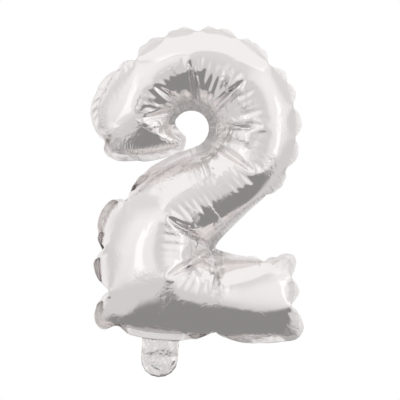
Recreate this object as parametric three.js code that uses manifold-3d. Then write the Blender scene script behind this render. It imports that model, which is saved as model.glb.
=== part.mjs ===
// Foil number balloon: a figure two of silver film, blown up, with its flat fill tail.
//
// The figure is a front and a rear panel of film, sealed to each other along a narrow flat rim.
// A self-sealing valve of two thin films passes through the neck in the bottom rim: its inner end
// hangs inside the balloon, and its mouth lies between the two films of the fill tail.
// The tail folds about the neck.
//
// Millimetres, +Z up. The front faces -Y and +X is to its right. The seam lies in the plane y = 0,
// and the origin is the middle of the line along which the tail folds, at the bottom of the rim.

import * as THREE from 'three';
import { mergeVertices } from 'three/addons/utils/BufferGeometryUtils.js';
import Module from 'manifold-3d';

const wasm = await Module();
wasm.setup();

// Film. Real foil is 0.03 mm thick, so each film is drawn thicker to be a solid.
const PANEL_FILM = 0.4;
const VALVE_FILM = 0.3;
const GAP = 0.3;
const RIM_WIDTH = 8;

// The loop of the figure: its outer seam, and the seam round the hole in the middle.
const LOOP_X = 42;
const LOOP_Z = 229.5;
const LOOP_RADIUS = 106.5;
const HOLE_X = 34;
const HOLE_Z = 230;
const HOLE_RADIUS = 26;
const HOOK_OUTER_Z = 207;
const HOOK_INNER_Z = 213;

// The notch between the diagonal and the base.
const NOTCH_X = 66;
const NOTCH_Z = 103;
const NOTCH_RADIUS = 17;

// The base of the figure and its lower left corner.
const BASE_BOTTOM = RIM_WIDTH;
const BASE_TOP = NOTCH_Z - NOTCH_RADIUS;
const BASE_RIGHT = 147;
const CORNER_X = -61;
const LEFT_SIDE_X = -69.5;
const LEFT_SIDE_Z = 67;
const DIAGONAL_SLOPE = THREE.MathUtils.degToRad(30);
const DIAGONAL_LENGTH = 92;
const SHOULDER_REACH = 26;

// How far a panel stands out from the seam plane, for the width of the stroke at that place.
const DEPTH_PER_WIDTH = 0.47;
const DEPTH_LIMIT = 50;
const END_ROUNDING = 46;

// The neck, the valve and the fill tail.
const TAIL_WIDTH = 41;
const TAIL_LENGTH = 42;
const FOLD_CLEARANCE = 1.5;
const TAIL_EDGE = 2;
const VALVE_WIDTH = TAIL_WIDTH - 2 * TAIL_EDGE - 2 * GAP;
const VALVE_REACH = 70;
const VALVE_TAPER = 4;
const MOUTH_LENGTH = 34;

// Steps along each stretch of the stroke and across it, from seam to seam.
const STEPS_ACROSS = 12;
const LOOP_STEPS = 24;
const DIAGONAL_STEPS = 4;
const SHOULDER_STEPS = 7;
const TURN_STEPS = 6;
const BASE_STEPS = 8;
const TAIL_END_STEPS = 24;

const SEAM_FACE = GAP / 2;
const VALVE_FACE = SEAM_FACE + VALVE_FILM;
const POCKET_FACE = VALVE_FACE + GAP;
const NECK_FACE = POCKET_FACE + PANEL_FILM;

const foilFront = new THREE.MeshStandardMaterial({ color: 0xdedad9, roughness: 0.16, metalness: 1 });
const foilRear = new THREE.MeshStandardMaterial({ color: 0xd6d3d1, roughness: 0.18, metalness: 1 });
const clearFilm = new THREE.MeshStandardMaterial({ color: 0xe9e7e2, roughness: 0.3, metalness: 0 });

// ---- The stroke of the figure -------------------------------------------------------------------

const onCircle = (x, z, radius, angle) =>
  new THREE.Vector2(x + radius * Math.cos(angle), z + radius * Math.sin(angle));

// An arc that is run through from one angle to the other, whichever is larger.
function arc(x, z, radius, from, to) {
  return new THREE.ArcCurve(x, z, radius, from, to, to < from);
}

// The stroke runs from the end of the hook, over the loop, down the diagonal, round the lower left
// corner and along the base. Each stretch has an edge on the outside of the loop and one on its
// inside, and as many steps as it is divided into.
function strokeStretches() {
  const loopStart = Math.PI - Math.asin((HOOK_OUTER_Z - LOOP_Z) / LOOP_RADIUS);
  const holeStart = Math.PI - Math.asin((HOOK_INNER_Z - HOLE_Z) / HOLE_RADIUS);

  // The diagonal's lower edge is the straight line that touches both the loop and the notch.
  const toNotch = new THREE.Vector2(NOTCH_X - LOOP_X, NOTCH_Z - LOOP_Z);
  const turn = Math.asin((LOOP_RADIUS + NOTCH_RADIUS) / toNotch.length());
  const lowerEdge = Math.atan2(toNotch.y, toNotch.x) - turn;
  const loopEnd = lowerEdge + Math.PI / 2;
  const notchStart = loopEnd + Math.PI;
  const notchMiddle = (notchStart + Math.PI * 1.5) / 2;

  const holeEnd = DIAGONAL_SLOPE - Math.PI / 2;
  const upperStart = onCircle(HOLE_X, HOLE_Z, HOLE_RADIUS, holeEnd);
  const downhill = new THREE.Vector2(-Math.cos(DIAGONAL_SLOPE), -Math.sin(DIAGONAL_SLOPE));
  const shoulder = upperStart.clone().addScaledVector(downhill, DIAGONAL_LENGTH);
  const leftSide = new THREE.Vector2(LEFT_SIDE_X, LEFT_SIDE_Z);
  const corner = new THREE.Vector2(CORNER_X, BASE_BOTTOM);

  const shoulderPath = new THREE.CurvePath();
  const intoShoulder = shoulder.clone().addScaledVector(downhill, SHOULDER_REACH);
  const outOfShoulder = leftSide.clone().add(new THREE.Vector2(0, SHOULDER_REACH));
  shoulderPath.add(new THREE.CubicBezierCurve(shoulder, intoShoulder, outOfShoulder, leftSide));
  const belowSide = new THREE.Vector2(LEFT_SIDE_X, (LEFT_SIDE_Z + BASE_BOTTOM) / 2);
  shoulderPath.add(new THREE.QuadraticBezierCurve(leftSide, belowSide, corner));

  const underNotch = new THREE.Vector2(NOTCH_X, BASE_TOP);
  const bottomMiddle = new THREE.Vector2(NOTCH_X, BASE_BOTTOM);
  return [
    {
      outer: arc(LOOP_X, LOOP_Z, LOOP_RADIUS, loopStart, loopEnd),
      inner: arc(HOLE_X, HOLE_Z, HOLE_RADIUS, holeStart, holeEnd),
      steps: LOOP_STEPS,
    },
    {
      outer: new THREE.LineCurve(
        onCircle(LOOP_X, LOOP_Z, LOOP_RADIUS, loopEnd),
        onCircle(NOTCH_X, NOTCH_Z, NOTCH_RADIUS, notchStart),
      ),
      inner: new THREE.LineCurve(upperStart, shoulder),
      steps: DIAGONAL_STEPS,
    },
    {
      outer: arc(NOTCH_X, NOTCH_Z, NOTCH_RADIUS, notchStart, notchMiddle),
      inner: shoulderPath,
      steps: SHOULDER_STEPS,
    },
    {
      outer: arc(NOTCH_X, NOTCH_Z, NOTCH_RADIUS, notchMiddle, Math.PI * 1.5),
      inner: new THREE.LineCurve(corner, bottomMiddle),
      steps: TURN_STEPS,
    },
    {
      outer: new THREE.LineCurve(underNotch, new THREE.Vector2(BASE_RIGHT, BASE_TOP)),
      inner: new THREE.LineCurve(bottomMiddle, new THREE.Vector2(BASE_RIGHT, BASE_BOTTOM)),
      steps: BASE_STEPS,
    },
  ];
}

// The pairs of seam points that the cross-sections of the stroke run between.
function strokeSections() {
  const sections = [];
  for (const { outer, inner, steps } of strokeStretches()) {
    const outerPoints = outer.getSpacedPoints(steps);
    const innerPoints = inner.getSpacedPoints(steps);
    const first = sections.length === 0 ? 0 : 1;
    for (let i = first; i <= steps; i += 1) {
      sections.push({ outer: outerPoints[i], inner: innerPoints[i] });
    }
  }
  return sections;
}

// How full each section is, from 0 at the two ends of the stroke to 1 away from them.
function fullness(sections) {
  const middles = sections.map(({ outer, inner }) => outer.clone().add(inner).multiplyScalar(0.5));
  const along = [0];
  for (let i = 1; i < middles.length; i += 1) {
    along.push(along[i - 1] + middles[i].distanceTo(middles[i - 1]));
  }
  const total = along[along.length - 1];
  return along.map((distance) => {
    const fromEnd = Math.min(distance, total - distance, END_ROUNDING);
    const away = 1 - fromEnd / END_ROUNDING;
    return Math.sqrt(1 - away * away);
  });
}

// ---- The two panels -----------------------------------------------------------------------------

// A grid of points on the outside of the dome: rows along the stroke, columns from seam to seam.
function domeGrid() {
  const sections = strokeSections();
  const full = fullness(sections);
  return sections.map(({ outer, inner }, row) => {
    const width = outer.distanceTo(inner);
    const depth = Math.min(DEPTH_PER_WIDTH * width, DEPTH_LIMIT) * full[row];
    const points = [];
    for (let column = 0; column <= STEPS_ACROSS; column += 1) {
      const turn = (Math.PI * column) / STEPS_ACROSS;
      const place = outer.clone().lerp(inner, (1 - Math.cos(turn)) / 2);
      const out = SEAM_FACE + PANEL_FILM + depth * Math.sin(turn);
      points.push(new THREE.Vector3(place.x, -out, place.y));
    }
    return points;
  });
}

// The outward direction of the dome at one point of its grid.
function domeNormal(grid, row, column) {
  const last = grid.length - 1;
  const along = grid[Math.min(row + 1, last)][column].clone();
  along.sub(grid[Math.max(row - 1, 0)][column]);
  const across = grid[row][Math.min(column + 1, STEPS_ACROSS)].clone();
  across.sub(grid[row][Math.max(column - 1, 0)]);
  return across.cross(along).normalize();
}

// The seam, as row and column numbers of the grid in order round its edge.
function seamOrder(rows) {
  const order = [];
  for (let row = 0; row < rows; row += 1) order.push([row, 0]);
  for (let column = 1; column <= STEPS_ACROSS; column += 1) order.push([rows - 1, column]);
  for (let row = rows - 2; row >= 0; row -= 1) order.push([row, STEPS_ACROSS]);
  for (let column = STEPS_ACROSS - 1; column > 0; column -= 1) order.push([0, column]);
  return order;
}

// The direction across the seam, away from the balloon, at each point of the seam.
function seamOutward(seam) {
  return seam.map((point, i) => {
    const before = seam[(i + seam.length - 1) % seam.length];
    const after = seam[(i + 1) % seam.length];
    const back = new THREE.Vector2(point.x - before.x, point.z - before.z).normalize();
    const ahead = new THREE.Vector2(after.x - point.x, after.z - point.z).normalize();
    const run = back.add(ahead).normalize();
    return new THREE.Vector3(-run.y, 0, run.x);
  });
}

// One panel as a closed shell: the dome and the rim outside, the same again inside.
function panelGeometry() {
  const grid = domeGrid();
  const rows = grid.length;
  const columns = STEPS_ACROSS + 1;
  const order = seamOrder(rows);
  const seam = order.map(([row, column]) => grid[row][column]);
  const outward = seamOutward(seam);
  const onSeam = new Map(order.map(([row, column], i) => [row * columns + column, i]));

  const vertices = [];
  grid.forEach((points) => vertices.push(...points));
  grid.forEach((points, row) => {
    points.forEach((point, column) => {
      const place = onSeam.get(row * columns + column);
      const inside = point.clone();
      if (place === undefined) {
        inside.addScaledVector(domeNormal(grid, row, column), -PANEL_FILM);
      } else {
        inside.addScaledVector(outward[place], -PANEL_FILM);
        inside.y = -SEAM_FACE;
      }
      vertices.push(inside);
    });
  });
  const rim = vertices.length;
  seam.forEach((point, i) => vertices.push(point.clone().addScaledVector(outward[i], RIM_WIDTH)));
  seam.forEach((point, i) => {
    const inside = point.clone().addScaledVector(outward[i], RIM_WIDTH);
    inside.y = -SEAM_FACE;
    vertices.push(inside);
  });

  const triangles = [];
  const quad = (a, b, c, d) => triangles.push(a, b, c, a, c, d);
  const inner = rows * columns;
  for (let row = 0; row < rows - 1; row += 1) {
    for (let column = 0; column < STEPS_ACROSS; column += 1) {
      const a = row * columns + column;
      const b = a + columns;
      quad(a, a + 1, b + 1, b);
      quad(inner + a, inner + b, inner + b + 1, inner + a + 1);
    }
  }
  const count = seam.length;
  for (let i = 0; i < count; i += 1) {
    const next = (i + 1) % count;
    const here = order[i][0] * columns + order[i][1];
    const there = order[next][0] * columns + order[next][1];
    const edge = rim + i;
    const edgeNext = rim + next;
    quad(here, there, edgeNext, edge);
    quad(inner + here, count + edge, count + edgeNext, inner + there);
    quad(edge, edgeNext, count + edgeNext, count + edge);
  }
  return indexed(vertices, triangles);
}

function indexed(vertices, triangles) {
  const geometry = new THREE.BufferGeometry();
  const numbers = vertices.flatMap((vertex) => vertex.toArray());
  geometry.setAttribute('position', new THREE.Float32BufferAttribute(numbers, 3));
  geometry.setIndex(triangles);
  return geometry;
}

// ---- Joining and cutting ------------------------------------------------------------------------

function toSolid(geometry) {
  const bare = geometry.clone();
  bare.deleteAttribute('normal');
  bare.deleteAttribute('uv');
  const merged = mergeVertices(bare, 1e-4);
  return new wasm.Manifold(
    new wasm.Mesh({
      numProp: 3,
      vertProperties: new Float32Array(merged.attributes.position.array),
      triVerts: new Uint32Array(merged.index.array),
    }),
  );
}

function toGeometry(solid) {
  const { vertProperties, triVerts } = solid.getMesh();
  const geometry = new THREE.BufferGeometry();
  geometry.setAttribute('position', new THREE.BufferAttribute(vertProperties, 3));
  geometry.setIndex(new THREE.BufferAttribute(triVerts, 1));
  geometry.computeVertexNormals();
  return geometry;
}

// A box of that width about x = 0, between two values of y and two of z.
function block(width, nearY, farY, lowZ, highZ) {
  const geometry = new THREE.BoxGeometry(width, farY - nearY, highZ - lowZ);
  geometry.translate(0, (nearY + farY) / 2, (lowZ + highZ) / 2);
  return toSolid(geometry);
}

// A flat plate of film between two values of y, from its outline in x and z.
function plate(outline, nearY, farY) {
  const geometry = new THREE.ExtrudeGeometry(outline, {
    depth: farY - nearY,
    bevelEnabled: false,
    curveSegments: TAIL_END_STEPS,
  });
  geometry.rotateX(Math.PI / 2);
  geometry.translate(0, farY, 0);
  return toSolid(geometry);
}

// ---- The pieces, as they are on the front. The rear ones are their mirror images. ---------------

// The neck is a flat sleeve in the bottom rim, wide enough for the valve's two films.
function panel() {
  const pocketWidth = TAIL_WIDTH - 2 * TAIL_EDGE;
  const insideRim = SEAM_FACE + PANEL_FILM / 2;
  const insideWall = BASE_BOTTOM + PANEL_FILM / 2;
  const sleeve = block(TAIL_WIDTH, -NECK_FACE, -insideRim, 0, insideWall);
  const passage = block(pocketWidth, -POCKET_FACE, GAP, 0, BASE_BOTTOM + NECK_FACE);
  const foldRoom = block(TAIL_WIDTH + 2, -NECK_FACE - 1, GAP, -RIM_WIDTH, FOLD_CLEARANCE);
  return toSolid(panelGeometry()).add(sleeve).subtract(passage).subtract(foldRoom);
}

function tailOutline(width, length) {
  const half = width / 2;
  const outline = new THREE.Shape();
  outline.moveTo(half, -FOLD_CLEARANCE);
  outline.lineTo(-half, -FOLD_CLEARANCE);
  outline.lineTo(-half, half - length);
  outline.absarc(0, half - length, half, Math.PI, Math.PI * 2, false);
  return outline;
}

// One film of the tail: sealed to the other along its edges, and open at its end.
function tailFilm() {
  const pocketWidth = TAIL_WIDTH - 2 * TAIL_EDGE;
  const pocket = block(pocketWidth, -POCKET_FACE, GAP, -TAIL_LENGTH - 1, 0);
  return plate(tailOutline(TAIL_WIDTH, TAIL_LENGTH), -NECK_FACE, -SEAM_FACE).subtract(pocket);
}

// The valve's inner end: a flat tube that narrows towards its open top.
function valveFilm() {
  const half = VALVE_WIDTH / 2;
  const outline = new THREE.Shape();
  outline.moveTo(-half, FOLD_CLEARANCE);
  outline.lineTo(half, FOLD_CLEARANCE);
  outline.lineTo(half - VALVE_TAPER, VALVE_REACH);
  outline.lineTo(-half + VALVE_TAPER, VALVE_REACH);
  return plate(outline, -VALVE_FACE, -SEAM_FACE);
}

function valveMouthFilm() {
  return plate(tailOutline(VALVE_WIDTH, MOUTH_LENGTH), -VALVE_FACE, -SEAM_FACE);
}

// ---- The balloon --------------------------------------------------------------------------------

const balloon = new THREE.Group();

function addPair(frontName, rearName, solid, frontMaterial, rearMaterial) {
  const front = new THREE.Mesh(toGeometry(solid), frontMaterial);
  front.name = frontName;
  const rear = new THREE.Mesh(toGeometry(solid.mirror([0, 1, 0])), rearMaterial);
  rear.name = rearName;
  balloon.add(front, rear);
}

addPair('front_panel', 'rear_panel', panel(), foilFront, foilRear);
addPair('valve_front_film', 'valve_rear_film', valveFilm(), clearFilm, clearFilm);
addPair('tail_front_film', 'tail_rear_film', tailFilm(), foilFront, foilRear);
addPair('valve_mouth_front_film', 'valve_mouth_rear_film', valveMouthFilm(), clearFilm, clearFilm);

export default balloon;
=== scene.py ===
"""Looks of the foil number balloon, a silver figure two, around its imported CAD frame.

The film is cut flat as a figure two, sealed along a seam with a narrow rim outside it, and blown up by a
small simulation: triangles of film that hardly stretch, pressed outwards until they rest. Its pillowed
shape, the creases round the hole and the waves of the rim all come from that.

The film is worked out in millimetres, with x to the right, y to the back and z up, as in the CAD frame,
and becomes metres when it is made into pieces.
"""

import math

import bpy
import numpy as np
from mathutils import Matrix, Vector
from mathutils.geometry import delaunay_2d_cdt


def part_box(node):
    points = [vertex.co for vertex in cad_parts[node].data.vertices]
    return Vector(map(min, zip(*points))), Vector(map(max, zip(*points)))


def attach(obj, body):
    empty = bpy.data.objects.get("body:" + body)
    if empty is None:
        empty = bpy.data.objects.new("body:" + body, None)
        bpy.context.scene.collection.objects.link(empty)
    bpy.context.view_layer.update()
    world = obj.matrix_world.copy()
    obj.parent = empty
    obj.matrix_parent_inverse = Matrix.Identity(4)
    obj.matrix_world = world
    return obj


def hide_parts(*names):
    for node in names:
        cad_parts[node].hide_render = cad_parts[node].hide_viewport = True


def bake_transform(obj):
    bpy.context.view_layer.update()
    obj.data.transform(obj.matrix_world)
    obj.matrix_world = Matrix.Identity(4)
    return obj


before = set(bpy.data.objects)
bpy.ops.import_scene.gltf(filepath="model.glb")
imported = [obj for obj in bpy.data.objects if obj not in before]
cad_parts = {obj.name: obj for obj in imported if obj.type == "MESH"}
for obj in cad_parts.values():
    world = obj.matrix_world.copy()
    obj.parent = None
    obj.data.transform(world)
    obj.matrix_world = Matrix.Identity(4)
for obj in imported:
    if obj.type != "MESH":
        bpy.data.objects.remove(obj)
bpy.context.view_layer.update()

MM = 0.001

# ---- The cut of the film ------------------------------------------------------------------------
# The seam of the flat figure. It is wider and more open than the blown-up one, because a tube of film
# draws in to about two thirds of its flat width and curls up as it fills. A bow is how far the middle of
# that side stands out from the straight line between its ends.

LOOP_CENTRE = (42, 235)
LOOP_RADIUS = 137
HOLE_CENTRE = (30, 232)
HOLE_RADIUS = 30
HOOK_ARC_END = math.radians(148)
HOOK_CORNER = (-78, 250)
HOOK_REACH = 20
HOOK_INNER_ANGLE = math.radians(204)
HOOK_BOW = 8
NOTCH_CENTRE = (104, 80)
NOTCH_RADIUS = 8
BASE_TOP_RIGHT = (181, 35)
BASE_BOTTOM_RIGHT = (163, -58)
BASE_BOTTOM_LEFT = (-60, -14)
TOP_BOW = 2
END_BOW = 9
BOTTOM_BOW = 14
LEFT_SIDE = (-70, 56)
DIAGONAL_SLOPE = math.radians(35)
DIAGONAL_LENGTH = 106
DIAGONAL_BOW = 6
SHOULDER_REACH = 26
CORNER_ROUNDING = 17
RIM_WIDTH = 8
RIM_RINGS = 2

# The fill tail, cut in one piece with the figure, and where it leaves the bottom edge.
TAIL_WIDTH = 41
TAIL_LENGTH = 42
NECK_X = 8

# ---- The blowing up -----------------------------------------------------------------------------

# EDGE is the spacing of the first mesh. The forces have no real unit: PRESSURE is for a square millimetre,
# PULL and PUSH for each millimetre that an edge is too long or too short, and BEND for each millimetre that
# the far corners of two triangles have come together. The holds draw the seam and the neck weakly to the
# middle plane.

EDGE = 8
PRESSURE = 4.4e-5
PULL = 0.18
PUSH = 0.18
BEND = 0.02
RIM_STIFFNESS = 3
DAMPING = 0.985
SPEED_LIMIT = 0.15
SEAM_HOLD = 0.006
NECK_HOLD = 0.01

# The push that lays the rim back, and the share of it that the loop's rim gets at each angle round the
# loop's centre, in degrees. The base's top gets all of it from ON_BASE before the notch's centre on.

RIM_FOLD = 4e-3
RIM_FOLD_ANGLES = (-65, -45, 15, 30, 118, 135)
RIM_FOLD_SHARES = (0, 0.5, 0.5, 1, 1, 0)
ON_LOOP = 2
ON_BASE = 20

# The start: a wave along the seam, and film that stands START_HEIGHT off the middle plane in the valleys
# where the large creases go and FOLD_HEIGHT more between them. The valleys leave the hole and the notch at
# these angles, in degrees.

PUCKER_LENGTH = 29
PUCKER_HEIGHT = 1.5
START_HEIGHT = 2
FOLD_HEIGHT = 12
FOLD_HALF_WIDTH = 6
FOLD_FADE = 20
HOLE_FOLDS = range(-58, 150, 34)
HOLE_FOLD_REACH = 105
NOTCH_FOLDS = (110, 130, 195, 262)
NOTCH_FOLD_REACH = 90

# The steps at each level. Each level's mesh is twice as fine as the one before.

STEPS = (2200, 900, 700)

# How far the blown-up figure is turned once it rests, so that it stands upright.

UPRIGHT_TURN = math.radians(0.6)

# ---- The skins ----------------------------------------------------------------------------------

# The gaps are how far each layer stands off the middle between the two: at the rim, and where the tail is
# puffed most.

FOIL_THICKNESS = 0.08
RIM_GAP = 0.14
TAIL_GAP = 0.7
TAIL_PUFF_WIDTH = 14
TAIL_PUFF_START = 8

# The valve's films lie in the rim up to VALVE_FREE_FROM above the neck. Above that they hang free in the gas,
# wave and part a little. NECK_REACH and NECK_TOP bound the sealed film whose depth they follow.

VALVE_THICKNESS = 0.05
VALVE_GAP = 0.04
VALVE_WAVE = 1.2
VALVE_WAVE_X = 6
VALVE_WAVE_Z = 14
VALVE_FREE_FROM = 9
VALVE_FREE_RISE = 30
VALVE_FREE_GAP = 0.5
VALVE_COLUMNS = 18
VALVE_LEAST_ROWS = 12
VALVE_ROW_HEIGHT = 2
NECK_REACH = 30
NECK_TOP = 14
NEIGHBOURS = 4

# The creases of the tail, which set in over CREASE_START below the neck.

CREASES = 9
CREASE_HEIGHT = 0.9
CREASE_LENGTHS = (9, 26)
CREASE_START = 12
CREASE_SEED = 7

# The fine folds of the foil, by distance from the seam: gathers reach WRINKLE_DEPTH all along it, fans round
# the hollows set in over FAN_NEAR and fade over FAN_FAR, and the film is crushed up to CRUSH_REACH there.
# A stretch of the seam is hollow by how much it turns inwards over HOLLOW_WINDOW.

WRINKLE_DEPTH = 24
HOLLOW_WINDOW = 40
HOLLOW_GAIN = 1.3
POINTS_AT_ONCE = 2000
FAN_REACH = 35
FAN_NEAR = (10, 22)
FAN_FAR = (44, 62)
CRUSH_REACH = 16

FOIL_COLOUR = (0.86, 0.828, 0.818, 1)
FOIL_ROUGHNESS = 0.1
FOLD_SPACING = 1.9
FOLD_LENGTH = 40.0
SEAL_COLOUR = (0.91, 0.878, 0.868, 1)

# ---- The view -----------------------------------------------------------------------------------

VIEW_CENTRE = (0.0434, 0, 0.1541)
VIEW_WIDTH = 0.443
VIEW_DISTANCE = 2.4
FLOOR_HEIGHT = -0.36
FLOOR_REACH = 2.4

# ---- The studio ---------------------------------------------------------------------------------

# What the foil mirrors: wells are the dark patches, by their direction and their radius as angles, and
# glows the pale ones, by direction and by the cosine of the angle at which they start and are full.

WELL_DROP = math.radians(65)
WELL_REACH = math.radians(42)
WELL_TURNS = (math.radians(40), math.radians(200))
WELL_SOFTNESS = 0.05
WELL_LIGHT = 0.41
ROOM_LOW = 0.73
ROOM_HIGH = 0.84
ROOM_BOTTOM = -0.3
ROOM_TOP = 0.9
GLOWS = ((-0.6, -0.77, 0.2), (0.8, -0.58, 0.15), (-0.75, 0.63, 0.2), (0.45, 0.87, 0.2))
GLOW_EDGE = 0.78
GLOW_MIDDLE = 0.96
GLOW_LIGHT = 0.22


def arc(centre, radius, start, end):
    """Points along an arc in the plane of the cut."""
    count = max(2, int(abs(end - start) * radius))
    angles = np.linspace(start, end, count)
    return np.column_stack([centre[0] + radius * np.cos(angles), centre[1] + radius * np.sin(angles)])


def bezier(*handles):
    """Points along a curve from the first handle to the last."""
    handles = [np.array(handle, float) for handle in handles]
    t = np.linspace(0, 1, 60)[:, None]
    while len(handles) > 1:
        handles = [a * (1 - t) + b * t for a, b in zip(handles, handles[1:])]
    return handles[0]


def bowed(start, end, bow):
    """A line from start to end whose middle stands out to the left by bow."""
    start, end = np.array(start, float), np.array(end, float)
    run = (end - start) / np.linalg.norm(end - start)
    return bezier(start, (start + end) / 2 + 2 * bow * np.array([-run[1], run[0]]), end)


def evenly(points, spacing):
    """Points at even spacing round a closed line, starting at its first point."""
    closed = np.vstack([points, points[:1]])
    along = np.concatenate([[0], np.cumsum(np.linalg.norm(np.diff(closed, axis=0), axis=1))])
    count = int(round(along[-1] / spacing))
    at = np.arange(count) / count * along[-1]
    return np.column_stack([np.interp(at, along, closed[:, k]) for k in (0, 1)])


def seam_outline():
    """The seam of the flat figure, clockwise from the hook's outer corner, at 1 mm spacing."""
    loop, notch = np.array(LOOP_CENTRE), np.array(NOTCH_CENTRE)
    to_notch = notch - loop
    turn = math.asin(min(1, (LOOP_RADIUS + NOTCH_RADIUS) / np.linalg.norm(to_notch)))
    loop_end = math.atan2(to_notch[1], to_notch[0]) - turn + math.pi / 2
    corner = np.array(BASE_TOP_RIGHT, float)
    from_corner = notch - corner
    reach = math.sqrt(from_corner @ from_corner - NOTCH_RADIUS**2)
    heading = math.atan2(from_corner[1], from_corner[0])
    heading += math.asin(NOTCH_RADIUS / np.linalg.norm(from_corner))
    notch_exit = corner + reach * np.array([math.cos(heading), math.sin(heading)])
    notch_end = math.atan2(*(notch_exit - notch)[::-1]) % (2 * math.pi)

    hole_end = DIAGONAL_SLOPE - math.pi / 2
    hole = np.array(HOLE_CENTRE)
    upper = hole + HOLE_RADIUS * np.array([math.cos(hole_end), math.sin(hole_end)])
    downhill = -np.array([math.cos(DIAGONAL_SLOPE), math.sin(DIAGONAL_SLOPE)])
    shoulder = upper + downhill * DIAGONAL_LENGTH
    side = np.array(LEFT_SIDE, float)
    left_corner = np.array(BASE_BOTTOM_LEFT, float)
    loop_arc = arc(loop, LOOP_RADIUS, HOOK_ARC_END, loop_end)
    onward = np.array([-math.sin(HOOK_ARC_END), math.cos(HOOK_ARC_END)])
    stretches = [
        bezier(HOOK_CORNER, loop_arc[0] + HOOK_REACH * onward, loop_arc[0]),
        loop_arc,
        arc(notch, NOTCH_RADIUS, loop_end + math.pi, notch_end),
        bowed(notch_exit, corner, TOP_BOW),
        bowed(corner, BASE_BOTTOM_RIGHT, END_BOW),
        bowed(BASE_BOTTOM_RIGHT, left_corner, BOTTOM_BOW),
        bezier(left_corner, (side[0], (side[1] + left_corner[1]) / 2), side),
        bezier(side, side + (0, SHOULDER_REACH), shoulder + downhill * SHOULDER_REACH, shoulder),
        bowed(shoulder, upper, DIAGONAL_BOW),
        arc(hole, HOLE_RADIUS, hole_end, HOOK_INNER_ANGLE),
    ]
    stretches.append(bowed(stretches[-1][-1], stretches[0][0], HOOK_BOW))
    points = evenly(np.vstack(stretches), 1)
    padded = np.vstack([points[-CORNER_ROUNDING:], points, points[:CORNER_ROUNDING]])
    window = np.ones(CORNER_ROUNDING) / CORNER_ROUNDING
    smooth = [np.convolve(padded[:, k], window, "same")[CORNER_ROUNDING:-CORNER_ROUNDING] for k in (0, 1)]
    return np.column_stack(smooth)


def inside(outline, points):
    """Which of the points are inside a closed line."""
    x, z = points.T
    within = np.zeros(len(points), bool)
    for (x0, z0), (x1, z1) in zip(outline, np.roll(outline, -1, axis=0)):
        if z0 != z1:
            within ^= ((z0 > z) != (z1 > z)) & (x < (x1 - x0) * (z - z0) / (z1 - z0) + x0)
    return within


def distance(outline, points):
    """How far each point is from a closed line."""
    best = np.full(len(points), np.inf)
    for a, b in zip(outline, np.roll(outline, -1, axis=0)):
        run = b - a
        t = np.clip((points - a) @ run / (run @ run), 0, 1)
        best = np.minimum(best, np.linalg.norm(points - a - t[:, None] * run, axis=1))
    return best


def filled(outline, spacing):
    """The outline's points followed by a lattice inside it, and the triangles between them."""
    low, high = outline.min(axis=0), outline.max(axis=0)
    rows = []
    for i, z in enumerate(np.arange(low[1], high[1], spacing * math.sqrt(3) / 2)):
        x = np.arange(low[0] + (i % 2) * spacing / 2, high[0], spacing)
        rows.append(np.column_stack([x, np.full(len(x), z)]))
    lattice = np.vstack(rows)
    lattice = lattice[inside(outline, lattice)]
    lattice = lattice[distance(outline, lattice) > 0.6 * spacing]
    points = np.vstack([outline, lattice])
    count = len(outline)
    edges = [(i, (i + 1) % count) for i in range(count)]
    made = delaunay_2d_cdt([Vector(p) for p in points], edges, [], 1, 1e-6)
    source = np.array([origin[0] for origin in made[3]])
    triangles = source[np.array(made[2])]
    a, b, c = (points[triangles[:, k]] for k in range(3))
    area = (b[:, 0] - a[:, 0]) * (c[:, 1] - a[:, 1]) - (b[:, 1] - a[:, 1]) * (c[:, 0] - a[:, 0])
    triangles[area < 0] = triangles[area < 0][:, ::-1]
    return points, triangles


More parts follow.
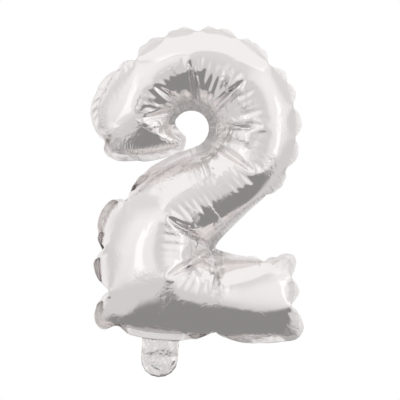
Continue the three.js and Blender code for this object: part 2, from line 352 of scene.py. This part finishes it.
class Film:
    """The film of the whole balloon as points and triangles, with its flat cut as the lengths to keep.

    The seam's points come first, in order. The front and the back share them, and the rim and the tail,
    which are two films sealed together, are one layer here.
    """

    def __init__(self, cut, front, back, rim, tail, seam):
        self.cut, self.front, self.back, self.rim, self.tail, self.seam = cut, front, back, rim, tail, seam
        self.count = len(cut)
        self.shell = np.vstack([front, back])
        flaps = np.vstack([rim, tail])
        self.edges = np.unique(sides(np.vstack([self.shell, flaps])), axis=0)
        self.lengths = np.linalg.norm(cut[self.edges[:, 0]] - cut[self.edges[:, 1]], axis=1)
        shell_bends, flap_bends = opposite_pairs(self.shell), opposite_pairs(flaps)
        self.bends = np.vstack([shell_bends, flap_bends])
        self.spans = np.linalg.norm(cut[self.bends[:, 0]] - cut[self.bends[:, 1]], axis=1)
        stiff = np.full(len(flap_bends), RIM_STIFFNESS)
        self.stiffness = np.concatenate([np.ones(len(shell_bends)), stiff])
        self.stiffness[self.spans < 1e-3] = 0
        self.spacing = float(np.median(self.lengths))
        self.hold = np.zeros(self.count)
        self.hold[:seam] = SEAM_HOLD
        neck = np.unique(tail)
        flap = np.unique(rim)
        beside = abs(cut[flap, 0] - cut[neck, 0].mean()) < TAIL_WIDTH / 2 + RIM_WIDTH
        self.hold[neck] = NECK_HOLD
        self.hold[flap[beside & (cut[flap, 1] < LEFT_SIDE[1] / 2)]] = NECK_HOLD

    def summed(self, index, force):
        """The total of the forces on each point."""
        return np.column_stack([np.bincount(index, force[:, k], self.count) for k in range(3)])

    def forces(self, place):
        """The pull and push of the edges, the stiffness of the bends and the pressure of the gas."""
        run = place[self.edges[:, 1]] - place[self.edges[:, 0]]
        length = np.sqrt(np.einsum("ij,ij->i", run, run)) + 1e-12
        extra = length - self.lengths
        edge = (np.where(extra > 0, PULL, PUSH) * extra / length)[:, None] * run
        span = place[self.bends[:, 1]] - place[self.bends[:, 0]]
        length = np.sqrt(np.einsum("ij,ij->i", span, span)) + 1e-12
        bend = (BEND * self.stiffness * np.minimum(length - self.spans, 0) / length)[:, None] * span
        a, b, c = self.shell.T
        press = np.cross(place[b] - place[a], place[c] - place[a]) * (PRESSURE / 6)
        ends = [self.edges[:, 0], self.edges[:, 1], self.bends[:, 0], self.bends[:, 1], a, b, c]
        return self.summed(np.concatenate(ends), np.vstack([edge, -edge, bend, -bend, press, press, press]))

    def settle(self, place, steps, nudge):
        """Lets the film move, under the nudge as well, until it rests."""
        speed = np.zeros_like(place)
        limit = self.spacing * SPEED_LIMIT
        hold = self.hold * self.spacing
        for _ in range(steps):
            force = self.forces(place) + nudge
            force[:, 1] -= hold * place[:, 1]
            speed = (speed + force) * DAMPING
            size = np.sqrt(np.einsum("ij,ij->i", speed, speed))
            speed *= np.minimum(1, limit / np.maximum(size, 1e-12))[:, None]
            place = place + speed
        return place

    def refined(self, place):
        """The same film with every triangle split in four."""
        low, high = self.edges.T.astype(np.int64)
        keys = low * self.count + high

        def middle(a, b):
            a, b = np.minimum(a, b).astype(np.int64), np.maximum(a, b)
            return self.count + np.searchsorted(keys, a * self.count + b)

        def split(triangles):
            a, b, c = triangles.T
            ab, bc, ca = middle(a, b), middle(b, c), middle(c, a)
            parts = ((a, ab, ca), (ab, b, bc), (ca, bc, c), (ab, bc, ca))
            return np.vstack([np.column_stack(part) for part in parts])

        seam = np.arange(self.seam)
        first = np.empty(2 * self.seam, int)
        first[0::2] = seam
        first[1::2] = middle(seam, np.roll(seam, -1))
        total = self.count + len(self.edges)
        order = np.concatenate([first, np.setdiff1d(np.arange(total), first)])
        new = np.empty(total, int)
        new[order] = np.arange(total)
        cut = np.vstack([self.cut, (self.cut[low] + self.cut[high]) / 2])[order]
        place = np.vstack([place, (place[low] + place[high]) / 2])[order]
        parts = [new[split(t)] for t in (self.front, self.back, self.rim, self.tail)]
        return Film(cut, *parts, 2 * self.seam), place


def sides(triangles):
    """The three sides of each triangle, each with its lower point first."""
    edges = np.vstack([triangles[:, [0, 1]], triangles[:, [1, 2]], triangles[:, [2, 0]]])
    return np.sort(edges, axis=1)


def opposite_pairs(triangles):
    """The two far corners of each pair of triangles that share an edge."""
    edges = sides(triangles)
    far = np.concatenate([triangles[:, 2], triangles[:, 0], triangles[:, 1]])
    keys = edges[:, 0].astype(np.int64) * (triangles.max() + 1) + edges[:, 1]
    order = np.argsort(keys, kind="stable")
    keys, far = keys[order], far[order]
    pair = np.flatnonzero(keys[1:] == keys[:-1])
    return np.column_stack([far[pair], far[pair + 1]])


def flat_film():
    """The two layers of film laid flat, sealed along the seam, with the rim and the tail outside it."""
    seam = evenly(seam_outline(), EDGE)
    points, front = filled(seam, EDGE)
    count, total = len(seam), len(points)
    to_back = np.arange(total)
    to_back[count:] = total + np.arange(total - count)
    cut = np.vstack([points, points[count:]])

    run = np.roll(seam, -1, axis=0) - np.roll(seam, 1, axis=0)
    run /= np.linalg.norm(run, axis=1)[:, None]
    outward = np.column_stack([-run[:, 1], run[:, 0]])
    rim = []
    inner = np.arange(count)
    for ring in range(1, RIM_RINGS + 1):
        outer = len(cut) + np.arange(count)
        cut = np.vstack([cut, seam + outward * RIM_WIDTH * ring / RIM_RINGS])
        a, b, c, d = inner, np.roll(inner, -1), outer, np.roll(outer, -1)
        rim += [np.column_stack([a, b, c]), np.column_stack([b, d, c])]
        inner = outer

    cut, tail = with_tail(cut, inner, outward)
    film = Film(cut, front, to_back[front][:, ::-1], np.vstack(rim), tail, count)
    place = np.column_stack([cut[:, 0], np.zeros(len(cut)), cut[:, 1]])
    plump = START_HEIGHT + FOLD_HEIGHT * between_folds(points[count:])
    place[count:total, 1] = -plump
    place[total : total + total - count, 1] = plump
    along = np.arange(count) * EDGE
    puckers = PUCKER_HEIGHT * np.sin(2 * math.pi * along / PUCKER_LENGTH)
    place[:count, 1] = puckers * (1 - fold_share(seam))
    return film, place


def fold_share(points):
    """How far the rim at each point is laid back: round the loop's top and along the base's top."""
    x, z = points.T
    across, up = x - LOOP_CENTRE[0], z - LOOP_CENTRE[1]
    on_loop = np.hypot(across, up) > LOOP_RADIUS - ON_LOOP
    share = np.interp(np.degrees(np.arctan2(up, across)), RIM_FOLD_ANGLES, RIM_FOLD_SHARES) * on_loop
    on_base = (x > NOTCH_CENTRE[0] - ON_BASE) & (z < LOOP_CENTRE[1] - LOOP_RADIUS) & (z > BASE_TOP_RIGHT[1])
    return np.maximum(share, on_base)


def between_folds(points):
    """0 on the folds that the film is given round the hole and the notch, rising to 1 between them."""
    share = np.ones(len(points))
    folds = [(HOLE_CENTRE, angle, HOLE_FOLD_REACH) for angle in HOLE_FOLDS]
    folds += [(NOTCH_CENTRE, angle, NOTCH_FOLD_REACH) for angle in NOTCH_FOLDS]
    for centre, angle, reach in folds:
        direction = np.array([math.cos(math.radians(angle)), math.sin(math.radians(angle))])
        along = (points - centre) @ direction
        beside = (points - centre) @ (-direction[1], direction[0])
        fade = np.clip((reach - along) / FOLD_FADE, 0, 1)
        on_fold = np.exp(-((beside / FOLD_HALF_WIDTH) ** 2)) * (along > 0) * fade
        share = np.minimum(share, 1 - on_fold)
    return share


def with_tail(cut, edge, outward):
    """Adds the tail's film below the stretch of the rim's edge where the neck is."""
    bottom = edge[(outward[:, 1] < -0.9) & (cut[edge, 1] < 0)]
    bottom = bottom[np.argsort(cut[bottom, 0])]
    steps = int(round(TAIL_WIDTH / EDGE))
    middles = (cut[bottom[:-steps], 0] + cut[bottom[steps:], 0]) / 2
    first = int(np.argmin(abs(middles - NECK_X)))
    top = bottom[first : first + steps + 1]
    left_end, right_end = cut[top[0]], cut[top[-1]]
    right = (right_end - left_end) / np.linalg.norm(right_end - left_end)
    down = np.array([right[1], -right[0]])
    half = np.linalg.norm(right_end - left_end) / 2
    straight = TAIL_LENGTH - half
    round_centre = (left_end + right_end) / 2 + down * straight
    side_steps = int(round(straight / EDGE))
    side = [right_end + down * straight * i / side_steps for i in range(1, side_steps)]
    turn_steps = int(round(math.pi * half / EDGE))
    for i in range(turn_steps + 1):
        angle = math.pi * i / turn_steps
        side.append(round_centre + half * (right * math.cos(angle) + down * math.sin(angle)))
    side += [left_end + down * straight * i / side_steps for i in range(side_steps - 1, 0, -1)]
    outline = np.vstack([cut[top], side])
    points, triangles = filled(outline, EDGE)
    index = np.concatenate([top, len(cut) + np.arange(len(points) - len(top))])
    return np.vstack([cut, points[len(top) :]]), index[triangles]


def rim_fold(film):
    """The push that lays the rim back, which is the same for the whole width of the rim."""
    push = np.zeros((film.count, 3))
    rim = np.unique(film.rim)
    rim = rim[rim >= film.seam]
    push[rim, 1] = RIM_FOLD * fold_share(film.cut[rim]) * (film.spacing / EDGE) ** 2
    return push


def blown_up(levels):
    """The film after it has been filled, at its final fineness."""
    film, place = flat_film()
    for level in range(levels):
        if level:
            film, place = film.refined(place)
        place = film.settle(place, STEPS[level], rim_fold(film))
    return film, place


def upright(film, place):
    """The blown-up film turned upright, with the middle of its neck at the origin."""
    cos, sin = math.cos(UPRIGHT_TURN), math.sin(UPRIGHT_TURN)
    x, y, z = place.T
    turned = np.column_stack([x * cos - z * sin, y, x * sin + z * cos])
    neck = np.intersect1d(film.tail, film.rim)
    middle = (turned[neck].min(axis=0) + turned[neck].max(axis=0)) / 2
    return turned - (middle[0], 0, middle[2])


def crumpled(place, film):
    """The film with its tail creased by handling: flat facets that meet along random straight folds."""
    neck = np.intersect1d(film.tail, film.rim)
    tail = np.setdiff1d(film.tail, neck)
    points = place[tail][:, [0, 2]]
    random = np.random.default_rng(CREASE_SEED)
    creased = np.zeros(len(tail))
    for _ in range(CREASES):
        angle = random.uniform(0, math.pi)
        length = random.uniform(*CREASE_LENGTHS)
        phase = points @ (math.cos(angle), math.sin(angle)) / length + random.uniform(0, 1)
        creased += length * abs(phase - np.floor(phase) - 0.5)
    creased *= CREASE_HEIGHT / CREASES
    drop = np.clip((place[neck, 2].mean() - points[:, 1]) / CREASE_START, 0, 1)
    place = place.copy()
    place[tail, 1] += (creased - creased.mean()) * drop
    return place


def normals(points, triangles):
    """The outward direction at each point, from the triangles round it."""
    a, b, c = (points[triangles[:, k]] for k in range(3))
    face = np.cross(b - a, c - a)
    total = np.zeros_like(points)
    for corner in range(3):
        np.add.at(total, triangles[:, corner], face)
    return total / np.maximum(np.linalg.norm(total, axis=1), 1e-12)[:, None]


def seam_facts(film):
    """For each point of the cut: its distance from the seam, how hollow the seam is there, and a count of
    millimetres along the seam that runs faster round the hollows, so that folds fanning out of them keep
    their spacing at FAN_REACH from the seam."""
    seam = film.cut[: film.seam]
    run = np.roll(seam, -1, axis=0) - seam
    step = np.linalg.norm(run, axis=1).mean()
    heading = np.unwrap(np.arctan2(run[:, 1], run[:, 0]))
    turn = np.diff(heading, append=heading[0] - 2 * math.pi) / step
    window = int(HOLLOW_WINDOW / step) | 1
    padded = np.concatenate([turn[-window:], turn, turn[:window]])
    smooth = np.convolve(padded, np.ones(window) / window, "same")[window:-window]
    hollow = np.clip(smooth * HOLE_RADIUS * HOLLOW_GAIN, 0, 1)
    fan = np.cumsum(step * (1 + FAN_REACH * np.clip(smooth, 0, None)))

    away, nearest = np.empty(film.count), np.empty(film.count, int)
    for start in range(0, film.count, POINTS_AT_ONCE):
        part = slice(start, start + POINTS_AT_ONCE)
        gaps = ((film.cut[part, None] - seam[None]) ** 2).sum(axis=2)
        nearest[part] = gaps.argmin(axis=1)
        away[part] = np.sqrt(gaps.min(axis=1))
    return (("from_seam", away), ("hollow", hollow[nearest]), ("along_seam", fan[nearest]))


def made_piece(name, points, triangles, materials, which=None, thickness=FOIL_THICKNESS, facts=()):
    """A thin sheet through the points, as a piece in metres."""
    used, index = np.unique(triangles, return_inverse=True)
    mesh = bpy.data.meshes.new(name)
    mesh.from_pydata((points[used] * MM).tolist(), [], index.reshape(-1, 3).tolist())
    mesh.polygons.foreach_set("use_smooth", np.ones(len(triangles), bool))
    for material in materials:
        mesh.materials.append(material)
    if which is not None:
        mesh.polygons.foreach_set("material_index", which)
    for label, values in facts:
        attribute = mesh.attributes.new(label, "FLOAT", "POINT")
        attribute.data.foreach_set("value", values[used].astype(np.float32))
    mesh.update()
    piece = bpy.data.objects.new(name, mesh)
    bpy.context.collection.objects.link(piece)
    solid = piece.modifiers.new("film", "SOLIDIFY")
    solid.thickness = thickness * MM
    solid.offset = 0
    solid.use_rim = True
    return piece


def make_skins(film, place, foil, seal):
    """The front and the back of the balloon, each with its own layer of the rim."""
    facts = seam_facts(film)
    flaps = np.unique(np.vstack([film.rim, film.tail]))
    out = normals(place, np.vstack([film.rim, film.tail]))
    towards = np.sign(out[flaps, 1].sum())
    for name, node, side, dome in (
        ("front_skin", "front_panel", -1, film.front),
        ("rear_skin", "rear_panel", 1, film.back),
    ):
        points = place.copy()
        points[flaps] += out[flaps] * (towards * side) * RIM_GAP
        rim = film.rim if side * towards > 0 else film.rim[:, ::-1]
        triangles = np.vstack([dome, rim])
        which = np.concatenate([np.zeros(len(dome), int), np.ones(len(rim), int)])
        piece = made_piece(name, points, triangles, [foil, seal], which, facts=facts)
        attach(piece, "balloon")
        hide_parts(node)


def make_tail(film, place, foil):
    """The two films of the fill tail, sealed along its edge and a little apart in the middle."""
    neck = np.intersect1d(film.tail, film.rim)
    tail = np.unique(film.tail)
    found, times = np.unique(sides(film.tail), axis=0, return_counts=True)
    border = np.setdiff1d(found[times == 1], neck)
    gaps = film.cut[tail, None] - film.cut[border][None]
    inward = np.sqrt((gaps**2).sum(axis=2).min(axis=1))
    below = place[neck, 2].mean() - place[tail, 2]
    rise = np.sin(np.clip(inward / TAIL_PUFF_WIDTH, 0, 1) * math.pi / 2)
    puff = rise * np.clip(below / TAIL_PUFF_START, 0, 1)
    out = normals(place, film.tail)
    towards = np.sign(out[tail, 1].sum())
    for name, node, side in (
        ("tail_front_skin", "tail_front_film", -1),
        ("tail_rear_skin", "tail_rear_film", 1),
    ):
        points = place.copy()
        shift = RIM_GAP + (TAIL_GAP - RIM_GAP) * puff
        points[tail] += out[tail] * (shift * side * towards)[:, None]
        triangles = film.tail if side * towards > 0 else film.tail[:, ::-1]
        piece = made_piece(name, points, triangles, [foil])
        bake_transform(piece)
        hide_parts(node)


def middle_depth(film, place, x, z):
    """How far back the sealed layers of the rim and the tail are at a point of the neck."""
    flaps = np.unique(np.vstack([film.rim, film.tail]))
    spots = place[flaps]
    near = spots[(abs(spots[:, 0]) < NECK_REACH) & (spots[:, 2] < NECK_TOP)]
    depth = np.empty(len(x))
    for i, (px, pz) in enumerate(zip(x, z)):
        gaps = (near[:, 0] - px) ** 2 + (near[:, 2] - pz) ** 2
        nearest = np.argpartition(gaps, NEIGHBOURS)[:NEIGHBOURS]
        weight = 1 / (gaps[nearest] + 1e-3)
        depth[i] = (weight * near[nearest, 1]).sum() / weight.sum()
    return depth


def round_end(low, high, z, body):
    """How wide the valve's film still is at a height, as a share: its mouth ends in a half circle."""
    radius = (high.x - low.x) / MM / 2
    past = np.clip(low.z / MM + radius - z, 0, radius) * (body == "fill_tail")
    return np.sqrt(np.clip(1 - (past / radius) ** 2, 0.01, 1))


def make_valve(film, place, clear):
    """The clear valve: two films side by side, from the tail through the neck up into the balloon."""
    for node, side, body in (
        ("valve_front_film", -1, "balloon"),
        ("valve_rear_film", 1, "balloon"),
        ("valve_mouth_front_film", -1, "fill_tail"),
        ("valve_mouth_rear_film", 1, "fill_tail"),
    ):
        low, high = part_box(node)
        rows = max(VALVE_LEAST_ROWS, int((high.z - low.z) / MM / VALVE_ROW_HEIGHT))
        across = np.linspace(low.x / MM, high.x / MM, VALVE_COLUMNS)
        up = np.linspace(low.z / MM, high.z / MM, rows)
        x, z = (grid.ravel() for grid in np.meshgrid(across, up))
        in_gas = np.clip((z - VALVE_FREE_FROM) / VALVE_FREE_RISE, 0, 1)
        wave = VALVE_WAVE * np.sin(x / VALVE_WAVE_X + z / VALVE_WAVE_Z)
        y = middle_depth(film, place, x, z) * (1 - in_gas) + wave * in_gas
        y += side * (VALVE_GAP + VALVE_FREE_GAP * in_gas)
        points = np.column_stack([x * round_end(low, high, z, body), y, z])
        start = np.arange(rows - 1)[:, None] * VALVE_COLUMNS + np.arange(VALVE_COLUMNS - 1)[None]
        a, b, c, d = (start.ravel() + step for step in (0, 1, VALVE_COLUMNS, VALVE_COLUMNS + 1))
        triangles = np.vstack([np.column_stack([a, b, d]), np.column_stack([a, d, c])])
        name = node.replace("film", "sheet")
        piece = made_piece(name, points, triangles, [clear], thickness=VALVE_THICKNESS)
        if body == "balloon":
            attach(piece, body)
        else:
            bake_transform(piece)
        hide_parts(node)


class Nodes:
    """A short way to write a material's nodes."""

    def __init__(self, name):
        self.material = bpy.data.materials.new(name)
        self.material.use_nodes = True
        self.tree = self.material.node_tree
        self.shader = self.tree.nodes["Principled BSDF"]

    def set(self, **values):
        for label, value in values.items():
            self.shader.inputs[label.replace("_", " ")].default_value = value

    def add(self, kind, settings=(), **inputs):
        node = self.tree.nodes.new(kind)
        for label, value in settings:
            setattr(node, label, value)
        for label, value in inputs.items():
            numbered = label[0] == "i" and label[1:].isdigit()
            socket = node.inputs[int(label[1:]) if numbered else label]
            if isinstance(value, bpy.types.NodeSocket):
                self.tree.links.new(value, socket)
            else:
                socket.default_value = value
        return node

    def fact(self, name):
        return self.add("ShaderNodeAttribute", [("attribute_name", name)]).outputs["Fac"]

    def maths(self, operation, a, b):
        return self.add("ShaderNodeMath", [("operation", operation)], i0=a, i1=b).outputs[0]

    def ramp(self, value, low, high, to_low=0.0, to_high=1.0):
        settings = [("interpolation_type", "SMOOTHSTEP")]
        limits = {"i1": low, "i2": high, "i3": to_low, "i4": to_high}
        return self.add("ShaderNodeMapRange", settings, i0=value, **limits).outputs[0]

    def noise(self, vector, scale, detail=3.0, roughness=0.5, distortion=0.0):
        node = self.add("ShaderNodeTexNoise", Vector=vector, Scale=scale, Detail=detail)
        node.inputs["Roughness"].default_value = roughness
        node.inputs["Distortion"].default_value = distortion
        return node.outputs["Fac"]

    def bump(self, height, distance, under=None):
        node = self.add("ShaderNodeBump", Height=height, Distance=distance, Strength=1.0)
        if under is not None:
            self.tree.links.new(under, node.inputs["Normal"])
        return node.outputs["Normal"]

    def link(self, output, label):
        self.tree.links.new(output, self.shader.inputs[label])


def seam_vector(nodes, along, across):
    """Texture coordinates that run along the seam and away from it, in units of the given millimetres."""
    first = nodes.maths("DIVIDE", nodes.fact("along_seam"), along)
    second = nodes.maths("DIVIDE", nodes.fact("from_seam"), across)
    return nodes.add("ShaderNodeCombineXYZ", i0=first, i1=second).outputs[0]


def foil_material():
    """Mirror-bright metallised film, gathered at the seam and in fans of fine folds round the hollows."""
    nodes = Nodes("silver foil")
    nodes.set(Base_Color=FOIL_COLOUR, Metallic=1.0, Roughness=FOIL_ROUGHNESS)
    place = nodes.add("ShaderNodeTexCoord").outputs["Object"]
    away, hollow = nodes.fact("from_seam"), nodes.fact("hollow")
    folds = nodes.noise(seam_vector(nodes, FOLD_SPACING, FOLD_LENGTH), 1.0, 3.0)

    near_seam = nodes.ramp(away, 0.0, WRINKLE_DEPTH, 0.45, 0.0)
    fan_start = nodes.ramp(away, FAN_NEAR[0], FAN_NEAR[1])
    fan_end = nodes.ramp(away, FAN_FAR[0], FAN_FAR[1], 1.0, 0.0)
    clumps = nodes.ramp(nodes.noise(place, 30.0, 2.0), 0.42, 0.6)
    band = nodes.maths("MULTIPLY", fan_start, fan_end)
    fan = nodes.maths("MULTIPLY", band, nodes.maths("MULTIPLY", hollow, clumps))
    gathers = nodes.maths("MULTIPLY", folds, nodes.maths("MAXIMUM", near_seam, fan))

    patches = nodes.ramp(nodes.noise(place, 28.0, 1.0), 0.46, 0.62)
    crush = nodes.maths("MULTIPLY", nodes.ramp(away, 4.0, CRUSH_REACH, 1.0, 0.0), hollow)
    crumple = nodes.maths("MAXIMUM", nodes.maths("MULTIPLY", patches, 0.25), crush)
    cockle = nodes.maths("MULTIPLY", nodes.noise(place, 190.0, 3.0, 0.55, 0.6), crumple)

    broad = nodes.bump(nodes.noise(place, 26.0, 1.0), 0.0007)
    fine = nodes.bump(cockle, 0.0018, under=broad)
    normal = nodes.bump(gathers, 0.0038, under=fine)
    nodes.link(normal, "Normal")
    streaks = nodes.noise(place, 60.0, 4.0)
    nodes.link(nodes.ramp(streaks, 0.3, 0.75, FOIL_ROUGHNESS * 0.7, FOIL_ROUGHNESS * 1.5), "Roughness")
    return nodes.material


def seal_material():
    """The heat-sealed rim: film dulled and ribbed by the sealing bar, and gathered in the hollows."""
    nodes = Nodes("sealed rim")
    nodes.set(Base_Color=SEAL_COLOUR, Metallic=0.75, Roughness=0.34)
    ribs = nodes.noise(seam_vector(nodes, 1.5, 9.0), 1.0, 1.0)
    place = nodes.add("ShaderNodeTexCoord").outputs["Object"]
    pebble = nodes.noise(place, 700.0, 2.0)
    sealed = nodes.bump(pebble, 0.00006, under=nodes.bump(ribs, 0.00025))
    folds = nodes.noise(seam_vector(nodes, FOLD_SPACING, FOLD_LENGTH), 1.0, 3.0)
    normal = nodes.bump(nodes.maths("MULTIPLY", folds, nodes.fact("hollow")), 0.005, under=sealed)
    nodes.link(normal, "Normal")
    nodes.link(nodes.ramp(nodes.noise(place, 90.0, 3.0), 0.3, 0.7, 0.28, 0.42), "Roughness")
    return nodes.material


def tail_material():
    """The tail's film, flat and slack, so that it shows small sharp creases all over."""
    nodes = Nodes("creased foil")
    nodes.set(Base_Color=FOIL_COLOUR, Metallic=1.0, Roughness=0.16)
    place = nodes.add("ShaderNodeTexCoord").outputs["Object"]
    settings = [("feature", "F2")]
    cells = nodes.add("ShaderNodeTexVoronoi", settings, Vector=place, Scale=190.0).outputs["Distance"]
    facets = nodes.bump(cells, 0.0008)
    normal = nodes.bump(nodes.noise(place, 260.0, 3.0), 0.0003, under=facets)
    nodes.link(normal, "Normal")
    nodes.link(nodes.ramp(nodes.noise(place, 80.0, 3.0), 0.3, 0.7, 0.12, 0.24), "Roughness")
    return nodes.material


def valve_material():
    """Clear thin film with a faint haze and fine handling creases."""
    nodes = Nodes("clear valve film")
    nodes.set(Base_Color=(0.93, 0.95, 0.96, 1), Roughness=0.12, IOR=1.45, Transmission_Weight=0.9)
    place = nodes.add("ShaderNodeTexCoord").outputs["Object"]
    normal = nodes.bump(nodes.noise(place, 220.0, 4.0, 0.6), 0.0002)
    nodes.link(normal, "Normal")
    nodes.link(nodes.ramp(nodes.noise(place, 120.0, 3.0), 0.35, 0.7, 0.08, 0.22), "Roughness")
    return nodes.material


def make_camera():
    """A long lens straight in front of the middle of the balloon."""
    camera = bpy.data.cameras.new("camera")
    camera.lens = camera.sensor_width * VIEW_DISTANCE / VIEW_WIDTH
    camera.clip_start = 0.05
    camera.clip_end = 50
    holder = bpy.data.objects.new("camera", camera)
    bpy.context.collection.objects.link(holder)
    holder.location = Vector(VIEW_CENTRE) + Vector((0, -VIEW_DISTANCE, 0))
    holder.rotation_euler = (math.pi / 2, 0, 0)
    bpy.context.scene.camera = holder


def area_light(name, place, size, power):
    """A soft box that faces the middle of the balloon."""
    light = bpy.data.lights.new(name, "AREA")
    light.shape = "RECTANGLE"
    light.size, light.size_y = size
    light.energy = power
    holder = bpy.data.objects.new(name, light)
    bpy.context.collection.objects.link(holder)
    holder.location = place
    aim = Vector(VIEW_CENTRE) - Vector(place)
    holder.rotation_euler = aim.to_track_quat("-Z", "Y").to_euler()


def make_floor():
    """A pale floor, too far below to catch the balloon's shadow."""
    mesh = bpy.data.meshes.new("floor")
    signs = ((-1, -1), (1, -1), (1, 1), (-1, 1))
    corners = [(x * FLOOR_REACH, y * FLOOR_REACH, FLOOR_HEIGHT) for x, y in signs]
    mesh.from_pydata(corners, [], [(0, 1, 2, 3)])
    paper = bpy.data.materials.new("pale paper")
    paper.use_nodes = True
    shader = paper.node_tree.nodes["Principled BSDF"]
    shader.inputs["Base Color"].default_value = (0.95, 0.95, 0.95, 1)
    shader.inputs["Roughness"].default_value = 0.9
    shader.inputs["Emission Color"].default_value = (1, 1, 1, 1)
    shader.inputs["Emission Strength"].default_value = 0.2
    mesh.materials.append(paper)
    floor = bpy.data.objects.new("floor", mesh)
    floor.visible_glossy = False
    bpy.context.collection.objects.link(floor)


def make_world():
    """A white room, with the dark wells low in front and behind that the balloon's foil mirrors."""
    world = bpy.data.worlds.new("studio")
    bpy.context.scene.world = world
    world.use_nodes = True
    tree = world.node_tree
    background = tree.nodes["Background"]

    def add(kind, settings=(), inputs=()):
        node = tree.nodes.new(kind)
        for label, value in settings:
            setattr(node, label, value)
        for place, value in enumerate(inputs):
            if isinstance(value, bpy.types.NodeSocket):
                tree.links.new(value, node.inputs[place])
            else:
                node.inputs[place].default_value = value
        return node

    def facing(direction):
        node = add("ShaderNodeVectorMath", [("operation", "DOT_PRODUCT")], (towards, direction))
        return node.outputs["Value"]

    def shade(value, low, high, to_low, to_high):
        settings = [("interpolation_type", "SMOOTHSTEP")]
        return add("ShaderNodeMapRange", settings, (value, low, high, to_low, to_high)).outputs[0]

    towards = add("ShaderNodeTexCoord").outputs["Generated"]
    level = math.cos(WELL_DROP)
    edge = math.cos(WELL_REACH)
    well = 1.0
    for turn in WELL_TURNS:
        axis = (level * math.sin(turn), -level * math.cos(turn), -math.sin(WELL_DROP))
        dark = shade(facing(axis), edge - WELL_SOFTNESS, edge + WELL_SOFTNESS, 1.0, WELL_LIGHT)
        well = add("ShaderNodeMath", [("operation", "MINIMUM")], (well, dark)).outputs[0]
    height = add("ShaderNodeSeparateXYZ", (), (towards,)).outputs["Z"]
    room = shade(height, ROOM_BOTTOM, ROOM_TOP, ROOM_LOW, ROOM_HIGH)
    for glow in GLOWS:
        light = shade(facing(glow), GLOW_EDGE, GLOW_MIDDLE, 0.0, GLOW_LIGHT)
        room = add("ShaderNodeMath", [("operation", "ADD")], (room, light)).outputs[0]
    mirrored = add("ShaderNodeMath", [("operation", "MULTIPLY")], (well, room)).outputs[0]
    seen = add("ShaderNodeLightPath").outputs["Is Camera Ray"]
    strength = add("ShaderNodeMapRange", (), (seen, 0.0, 1.0, mirrored, 1.0)).outputs[0]
    tree.links.new(strength, background.inputs["Strength"])
    background.inputs["Color"].default_value = (1, 1, 1, 1)


def make_lights():
    """Tall soft boxes left and right of the camera and a wide one above."""
    area_light("left box", (-1.3, -1.5, 0.35), (0.35, 1.3), 0.3)
    area_light("right box", (1.7, -1.1, 0.3), (0.4, 1.3), 0.4)
    area_light("top box", (0.2, -0.6, 2.1), (3.0, 2.2), 4.0)


def main():
    make_camera()
    make_floor()
    make_world()
    make_lights()
    bpy.context.scene.view_settings.view_transform = "Standard"
    film, place = blown_up(len(STEPS))
    place = crumpled(upright(film, place), film)
    foil = foil_material()
    make_skins(film, place, foil, seal_material())
    make_tail(film, place, tail_material())
    make_valve(film, place, valve_material())


main()
